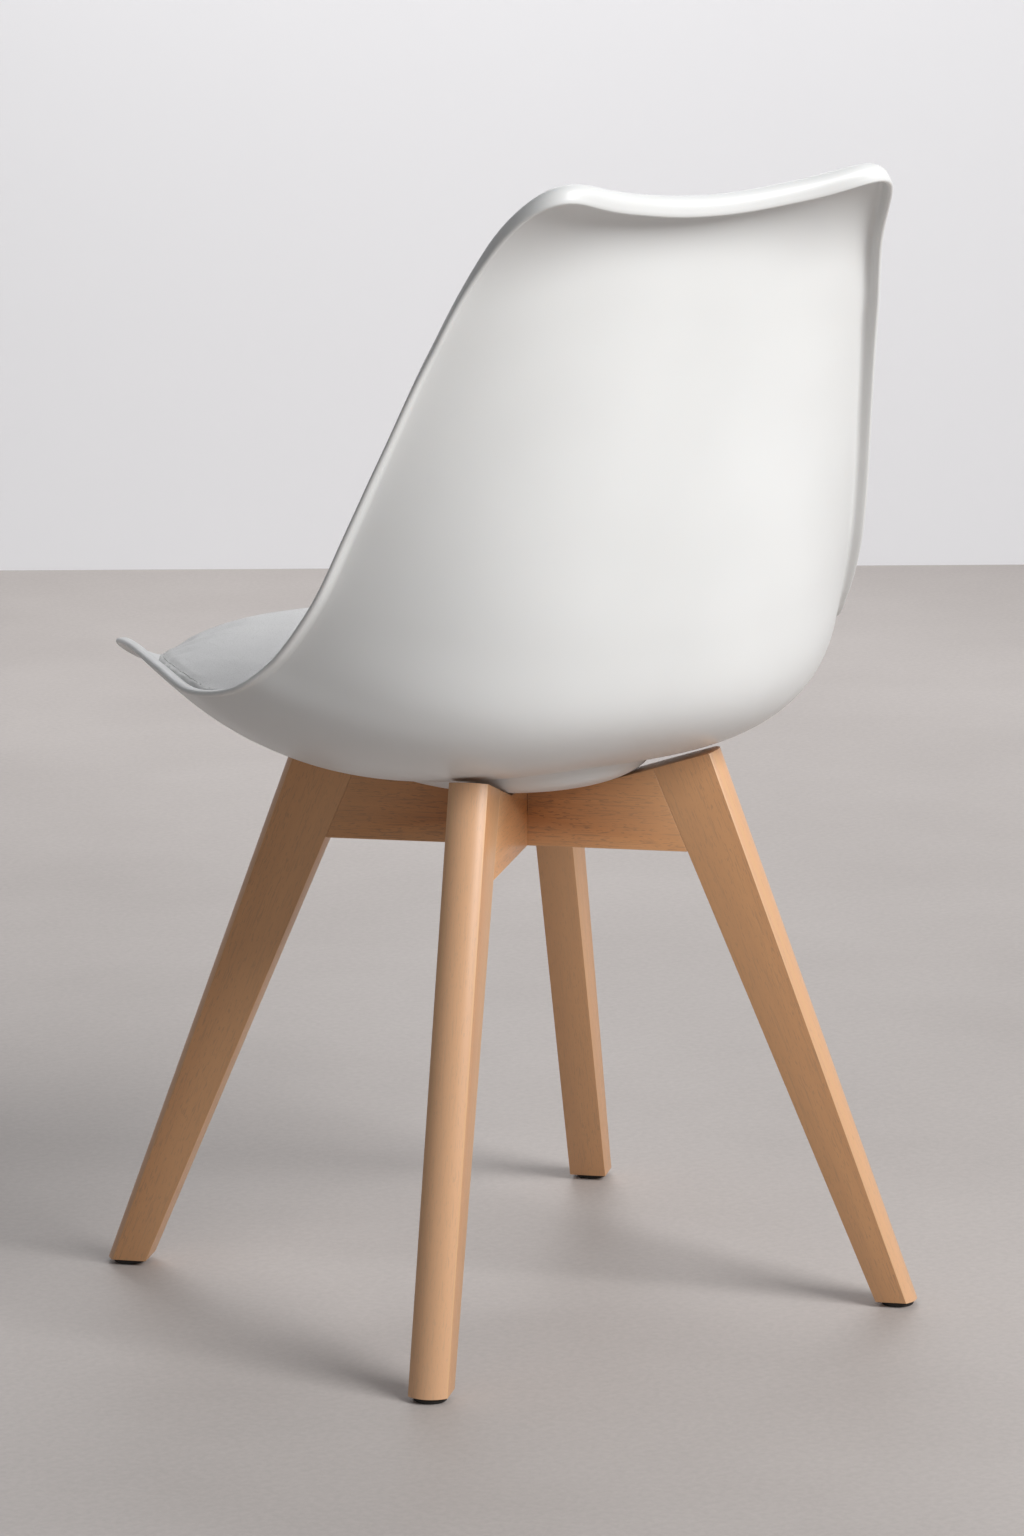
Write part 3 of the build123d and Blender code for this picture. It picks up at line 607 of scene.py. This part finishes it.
def leg_piece(node, angle, leg, side, seed):
    """A tapered leg in its own plane, with its outer face crowned from side to side."""
    outer_foot, inner_foot, corner, top_corner, leg_top = leg
    top_r, top_z = joint_top(leg)
    half = FRAME_THICKNESS / 2
    radius = (half**2 + LEG_CROWN**2) / (2 * LEG_CROWN)
    lean = (outer_foot - top_corner) / (leg_top - FOOT_Z)
    slope = (leg_top - top_z) / (top_corner - top_r)
    rings = []
    for y in half * np.sin(np.linspace(-np.pi / 2, np.pi / 2, 25)):
        inset = (radius - math.sqrt(radius**2 - y**2)) * math.hypot(1, lean)
        # the crowned line, set in level by inset, meets the sloping top lower down
        drop = inset * slope / (1 + slope * lean)
        rings.append([(outer_foot - inset, y, FOOT_Z),
                      (top_corner - inset + lean * drop, y, leg_top - drop),
                      (top_r, y, top_z), (inner_foot, y, FOOT_Z)])
    last = 4 * (len(rings) - 1)
    feet, tops = range(0, last + 1, 4), range(1, last + 2, 4)
    faces = [(0, 1, 2, 3), (last + 3, last + 2, last + 1, last),
             (*tops, last + 2, 2), (3, last + 3, *reversed(feet)), (2, last + 2, last + 3, 3)]
    faces += [(k, k + 4, k + 5, k + 1) for k in feet[:-1]]
    mesh = bpy.data.meshes.new("wood")
    mesh.from_pydata([tuple(c * MM for c in v) for ring in rings for v in ring], [], faces)
    bm = bmesh.new()
    bm.from_mesh(mesh)
    unused = [v for v in bm.verts if not v.link_faces]
    bmesh.ops.delete(bm, geom=unused, context="VERTS")
    bmesh.ops.recalc_face_normals(bm, faces=bm.faces)
    bm.to_mesh(mesh)
    bm.free()
    obj = bpy.data.objects.new("wood", mesh)
    bpy.context.scene.collection.objects.link(obj)
    obj.matrix_world = Matrix.Rotation(math.radians(angle + (180 if side < 0 else 0)), 4, "Z")
    bpy.context.view_layer.update()
    tilt = math.degrees(math.atan2(outer_foot + inner_foot - top_corner - corner, 2 * LEG_MEAN_RISE))
    # the last argument, 0.5, is the strength of the painted highlight on the leg's crowned outer face
    return finish_wood(obj, node + "_wood", beech(node + "_beech", -tilt, seed, 0.5), node)


def beam_piece(node, angle, keep_low, seed):
    """A cross beam, halved at the middle and counterbored for the bolts from below."""
    front_r, front_z = joint_top(FRONT_LEG)
    rear_r, rear_z = joint_top(REAR_LEG)
    outline = [(-FRONT_LEG[2], BEAM_UNDERSIDE), (REAR_LEG[2], BEAM_UNDERSIDE), (rear_r, rear_z),
               (BEAM_FLAT_HALF, BEAM_TOP), (-BEAM_FLAT_HALF, BEAM_TOP), (-front_r, front_z)]
    turn = Matrix.Rotation(math.radians(angle), 4, "Z")
    obj = prism("wood", outline, FRAME_THICKNESS, turn)
    lap = (BEAM_UNDERSIDE + BEAM_TOP) / 2
    low, high = (lap, BEAM_TOP + 5) if keep_low else (BEAM_UNDERSIDE - 5, lap)
    half = FRAME_THICKNESS / 2 + 0.1
    cutters = [prism("cutter", [(-half, low), (half, low), (half, high), (-half, high)], 60, turn)]
    for end in (-1, 1):
        x = end * BOLT_CIRCLE * math.cos(math.radians(angle))
        y = end * BOLT_CIRCLE * math.sin(math.radians(angle))
        cutters.append(cylinder("cutter", x, y, BEAM_UNDERSIDE - 5, BEAM_UNDERSIDE + COUNTERBORE_DEPTH,
                                COUNTERBORE_RADIUS))
    subtract(obj, cutters)
    return finish_wood(obj, node + "_wood", beech(node + "_beech", 90, seed), node)


def cross_frame():
    leg_piece("leg_front_left", LONG_BEAM_ANGLE, FRONT_LEG, -1, 1)
    leg_piece("leg_rear_right", LONG_BEAM_ANGLE, REAR_LEG, 1, 2)
    leg_piece("leg_front_right", CROSS_BEAM_ANGLE, FRONT_LEG, -1, 3)
    leg_piece("leg_rear_left", CROSS_BEAM_ANGLE, REAR_LEG, 1, 4)
    beam_piece("beam_long", LONG_BEAM_ANGLE, True, 5)
    beam_piece("beam_cross", CROSS_BEAM_ANGLE, False, 6)


# ---------------------------------------------------------------- cushion
def cushion_outline(theta, share):
    """Rounded outline of the cushion on the seat surface, as (u, s)."""
    rear, front = CUSHION_SECTIONS
    power = 2 / 4.6
    c, d = np.cos(theta), np.sin(theta)
    a = np.sign(c) * np.abs(c) ** power
    b = np.sign(d) * np.abs(d) ** power
    return CUSHION_HALF_WIDTH * share * a, (rear + front) / 2 + (front - rear) / 2 * share * b


def cushion_height(share, b):
    return CUSHION_CROWN - 7 * share**4 + 8 * smooth(b, 0.1, 0.9)


def cushion_mesh(shrink):
    """A crowned closed form: its underside follows the shell, its top is domed."""
    theta = np.linspace(0, 2 * np.pi, 160, endpoint=False)
    under, over = [], []
    for share in np.linspace(0.04, 1.0, 26):
        u, s = cushion_outline(theta, share * shrink)
        under.append(seat_point(u, s) - seat_normal(u, s) * CUSHION_GAP)
    for share in np.concatenate([1 - np.linspace(0, 1, 12) ** 2 * 0.18, np.linspace(0.79, 0.04, 20)]):
        u, s = cushion_outline(theta, share * shrink)
        point = seat_point(u, s) - seat_normal(u, s) * CUSHION_GAP
        fullness = (1 - share**12) ** 0.5
        crown = cushion_height(share, np.sin(theta) * share)
        point[:, 2] += 7 + np.maximum(crown - point[:, 2] - 7, 0) * fullness
        over.append(point)
    vertices, faces = closed_grid(np.array(under + over))
    return new_object("seat_cushion", vertices, faces, LEATHER,
                      replaces=["cushion_cover"])


def coordinates(mesh):
    values = np.empty(len(mesh.vertices) * 3)
    mesh.vertices.foreach_get("co", values)
    return values.reshape(-1, 3)


def normals(mesh):
    values = np.empty(len(mesh.vertices) * 3)
    mesh.vertex_normals.foreach_get("vector", values)
    return values.reshape(-1, 3)


def move_to(mesh, points):
    mesh.vertices.foreach_set("co", np.asarray(points, np.float32).ravel())
    mesh.update()


def stuff(obj):
    """Inflate the cover from within by a cloth simulation; the underside stays on its tray."""
    remesh = obj.modifiers.new("even_mesh", "REMESH")
    remesh.mode = "VOXEL"
    remesh.voxel_size = 5.5 * MM
    apply_modifiers(obj)
    rest = coordinates(obj.data)
    held = np.nonzero(normals(obj.data)[:, 2] < -0.25)[0]
    obj.vertex_groups.new(name="held").add([int(k) for k in held], 1.0, "REPLACE")
    cloth = obj.modifiers.new("stuffing", "CLOTH")
    settings = cloth.settings
    settings.quality = 4
    settings.mass = 0.3
    settings.tension_stiffness = settings.compression_stiffness = 12
    settings.bending_stiffness = 0.6
    settings.use_pressure = True
    settings.uniform_pressure_force = 4.0
    settings.effector_weights.gravity = 0
    settings.vertex_group_mass = "held"
    cloth.point_cache.frame_start, cloth.point_cache.frame_end = 1, 20
    for number in range(1, 21):
        bpy.context.scene.frame_set(number)
    apply_modifiers(obj)
    bpy.context.scene.frame_set(1)
    move = coordinates(obj.data) - rest
    length = np.maximum(np.linalg.norm(move, axis=1, keepdims=True), 1e-9)
    move_to(obj.data, rest + move / length * np.minimum(length, STUFFING_SWELL * MM))
    obj.vertex_groups.clear()


def keep_clear(obj, around, gap):
    """Push any point nearer than the gap back off the shell's surface."""
    tree = BVHTree.FromObject(around, bpy.context.evaluated_depsgraph_get())
    points = coordinates(obj.data)
    for k, point in enumerate(points):
        place, normal, _, _ = tree.find_nearest(Vector(point))
        depth = (Vector(point) - place).dot(normal)
        if depth < gap * MM:
            points[k] = place + normal * gap * MM
    move_to(obj.data, points)


def cover_foam(obj, foam, cover):
    """Lift the cushion's top wherever the foam block would come nearer than the cover's thickness."""
    tree = BVHTree.FromPolygons([foam.matrix_world @ v.co for v in foam.data.vertices],
                                [tuple(face.vertices) for face in foam.data.polygons])
    points, directions = coordinates(obj.data), normals(obj.data)
    for k, (x, y, z) in enumerate(points):
        if directions[k][2] > 0:
            place = tree.ray_cast(Vector((x, y, 1.0)), Vector((0, 0, -1)))[0]
            if place is not None:
                points[k][2] = max(z, place.z + cover * MM)
    move_to(obj.data, points)


def seam_path(obj, steps):
    """Points and normals on the cushion's top along the seam."""
    tree = BVHTree.FromObject(obj, bpy.context.evaluated_depsgraph_get())
    theta = np.linspace(0, 2 * np.pi, steps, endpoint=False)
    path = []
    for x, y, z in seat_point(*cushion_outline(theta, SEAM_SHARE)) * MM:
        place, normal, _, _ = tree.ray_cast(Vector((x, y, z + 0.15)), Vector((0, 0, -1)))
        if place is not None:
            path.append((place, normal))
    return path


def press_seam(obj, path):
    """A channel along the seam, with a slight welt beside it."""
    tree = KDTree(len(path))
    for k, (place, _) in enumerate(path):
        tree.insert(place, k)
    tree.balance()
    points, directions = coordinates(obj.data), normals(obj.data)
    for k, point in enumerate(points):
        distance = tree.find(Vector(point))[2] / MM
        if distance < 4 * SEAM_WIDTH and directions[k][2] > 0:
            channel = SEAM_DEPTH * math.exp(-(distance / SEAM_WIDTH) ** 2)
            welt = 0.3 * math.exp(-((distance - 2.2 * SEAM_WIDTH) / SEAM_WIDTH) ** 2)
            points[k] += directions[k] * (welt - channel) * MM
    move_to(obj.data, points)


def stitches(obj, path):
    """Short rounded stitches lying in the seam's channel."""
    tree = BVHTree.FromObject(obj, bpy.context.evaluated_depsgraph_get())
    bm = bmesh.new()
    travelled, last = 0.0, path[-1][0]
    for place, _ in path:
        travelled += (place - last).length / MM
        heading, last = (place - last).normalized(), place
        if travelled < STITCH_PITCH:
            continue
        travelled -= STITCH_PITCH
        ground, up, _, _ = tree.find_nearest(place)
        side = up.cross(heading).normalized()
        heading = side.cross(up).normalized()
        frame_axes = Matrix((side, heading, up)).transposed().to_4x4()
        frame_axes.translation = ground + up * THREAD_RADIUS * 0.5 * MM
        sizes = Matrix.Diagonal((THREAD_RADIUS * MM, STITCH_LENGTH / 2 * MM, THREAD_RADIUS * MM, 1))
        bmesh.ops.create_uvsphere(bm, u_segments=8, v_segments=8, radius=1.0, matrix=frame_axes @ sizes)
    mesh = bpy.data.meshes.new("cushion_stitches")
    bm.to_mesh(mesh)
    bm.free()
    thread = bpy.data.objects.new("cushion_stitches", mesh)
    bpy.context.scene.collection.objects.link(thread)
    mesh.materials.append(THREAD)
    mesh.shade_smooth()
    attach(thread, "root")


def seat_cushion(around):
    """The stuffed and seamed cushion lying in the shell."""
    obj = cushion_mesh(0.985)
    stuff(obj)
    keep_clear(obj, around, 0.8)
    cover_foam(obj, frame["nodes"]["cushion_foam"], 2.0)
    smoother = obj.modifiers.new("smoother", "SUBSURF")
    smoother.levels = smoother.render_levels = 1
    apply_modifiers(obj)
    path = seam_path(obj, 1600)
    press_seam(obj, path)
    keep_clear(obj, around, 0.5)
    obj.data.shade_smooth()
    stitches(obj, path)
    return obj


# ---------------------------------------------------------------- studio
def area_light(name, place, target, size, power, colour=(1, 1, 1)):
    data = bpy.data.lights.new(name, "AREA")
    data.shape = "RECTANGLE"
    data.size, data.size_y = size
    data.energy = power
    data.color = colour
    light = bpy.data.objects.new(name, data)
    bpy.context.scene.collection.objects.link(light)
    light.location = place
    light.rotation_euler = (Vector(target) - Vector(place)).to_track_quat("-Z", "Y").to_euler()
    return light


CAMERA_AZIMUTH, CAMERA_DISTANCE, CAMERA_HEIGHT = 146.93, 3.891, 1.1768
CAMERA_PITCH, CAMERA_ROLL, CAMERA_LENS = -11.60, -0.33, 131.6
WALL_DISTANCE = 3.10              # from the chair's axis, on the far side from the camera


def view_axes():
    """Level directions away from the camera and to its right."""
    a = math.radians(CAMERA_AZIMUTH)
    ahead = Vector((-math.sin(a), math.cos(a), 0))
    return ahead, ahead.cross(Vector((0, 0, 1)))


def camera():
    ahead, right = view_axes()
    pitch, roll = math.radians(CAMERA_PITCH), math.radians(CAMERA_ROLL)
    forward = ahead * math.cos(pitch) + Vector((0, 0, math.sin(pitch)))
    up = right.cross(forward)
    x_axis = right * math.cos(roll) + up * math.sin(roll)
    y_axis = up * math.cos(roll) - right * math.sin(roll)
    data = bpy.data.cameras.new("camera")
    data.lens = CAMERA_LENS
    data.sensor_width = 36
    data.clip_end = 100
    obj = bpy.data.objects.new("camera", data)
    bpy.context.scene.collection.objects.link(obj)
    place = -ahead * CAMERA_DISTANCE + Vector((0, 0, CAMERA_HEIGHT))
    obj.matrix_world = Matrix((
        (x_axis.x, y_axis.x, -forward.x, place.x),
        (x_axis.y, y_axis.y, -forward.y, place.y),
        (x_axis.z, y_axis.z, -forward.z, place.z),
        (0, 0, 0, 1),
    ))
    bpy.context.scene.camera = obj


def studio():
    ahead, right = view_axes()
    floor_mat, tree, shader = material("studio_floor", (0.50, 0.47, 0.44), 0.6)
    position = object_position(tree)
    cloud = noise(tree, position, 1.6, 5.0, 0.6)
    speck = noise(tree, position, 180.0, 3.0, 0.7)
    tone = ramp(tree, cloud, [(0.3, (0.405, 0.370, 0.351)), (0.7, (0.475, 0.438, 0.417))])
    fine = ramp(tree, speck, [(0.35, (0.95, 0.95, 0.95)), (0.65, (1.04, 1.04, 1.04))])
    tree.links.new(mix_colour(tree, 1.0, tone, fine, "MULTIPLY"), shader.inputs["Base Color"])
    bump(tree, shader, [(speck, 0.1, 0.0004)])
    wall_mat = material("studio_wall", (0.86, 0.86, 0.88), 0.9)[0]
    size = 14.0
    floor = bpy.data.meshes.new("studio_floor")
    corners = [ahead * a + right * b for a, b in ((-size, -size), (-size, size), (WALL_DISTANCE, size),
                                                  (WALL_DISTANCE, -size))]
    floor.from_pydata([tuple(c) for c in corners], [], [(0, 1, 2, 3)])
    wall = bpy.data.meshes.new("studio_wall")
    low = [ahead * WALL_DISTANCE - right * size, ahead * WALL_DISTANCE + right * size]
    high = [p + Vector((0, 0, 6)) for p in reversed(low)]
    wall.from_pydata([tuple(c) for c in low + high], [], [(0, 1, 2, 3)])
    for mesh, mat in ((floor, floor_mat), (wall, wall_mat)):
        mesh.materials.append(mat)
        obj = bpy.data.objects.new(mesh.name, mesh)
        bpy.context.scene.collection.objects.link(obj)

    bpy.context.scene.view_settings.view_transform = "Standard"
    world = bpy.data.worlds.new("studio_world")
    world.use_nodes = True
    world.node_tree.nodes["Background"].inputs["Color"].default_value = (0.90, 0.92, 0.95, 1)
    world.node_tree.nodes["Background"].inputs["Strength"].default_value = 0.24
    bpy.context.scene.world = world
    target = (0, 0, 0.5)
    key = right * 2.75 - ahead * 2.0 + Vector((0, 0, 2.8))
    area_light("key_light", tuple(key), target, (2.2, 2.2), 186)
    wash = -right * 0.25 + ahead * 2.2 + Vector((0, 0, 2.8))
    area_light("wall_light", tuple(wash), tuple(ahead * WALL_DISTANCE - right * 0.25 + Vector((0, 0, 1.5))),
               (0.9, 0.5), 42)


# ---------------------------------------------------------------- build
camera()
studio()
shell = seat_shell()
subtract(shell, socket_cutters())
pad_spots = [(PAD_SCREW_CIRCLE * math.cos(a), PAD_SCREW_CIRCLE * math.sin(a))
             for a in (0, math.pi / 2, math.pi, -math.pi / 2)]
subtract(shell, [cylinder("cutter", x, y, HUB_BOTTOM - 5, HUB_BOTTOM + PAD_COUNTERBORE, PAD_HEAD_HOLE_RADIUS)
                 for x, y in pad_spots])
shell.data.set_sharp_from_angle(angle=math.radians(40))
cross_frame()
seat_cushion(shell)

FINISHES = {"zinc_steel": STEEL, "brass": BRASS, "glide_rubber": RUBBER, "cushion_foam": FOAM,
            "tray_plastic": TRAY, "beech": beech("dowel_beech", 0, 7), "shell_plastic": PLASTIC,
            "cushion_leather": LEATHER}
for part in frame["record"]["subparts"]:
    node = frame["nodes"][part["node"]]
    for material_slot in node.material_slots:
        material_slot.link = "OBJECT"
        material_slot.material = FINISHES[part["material_slot"]]
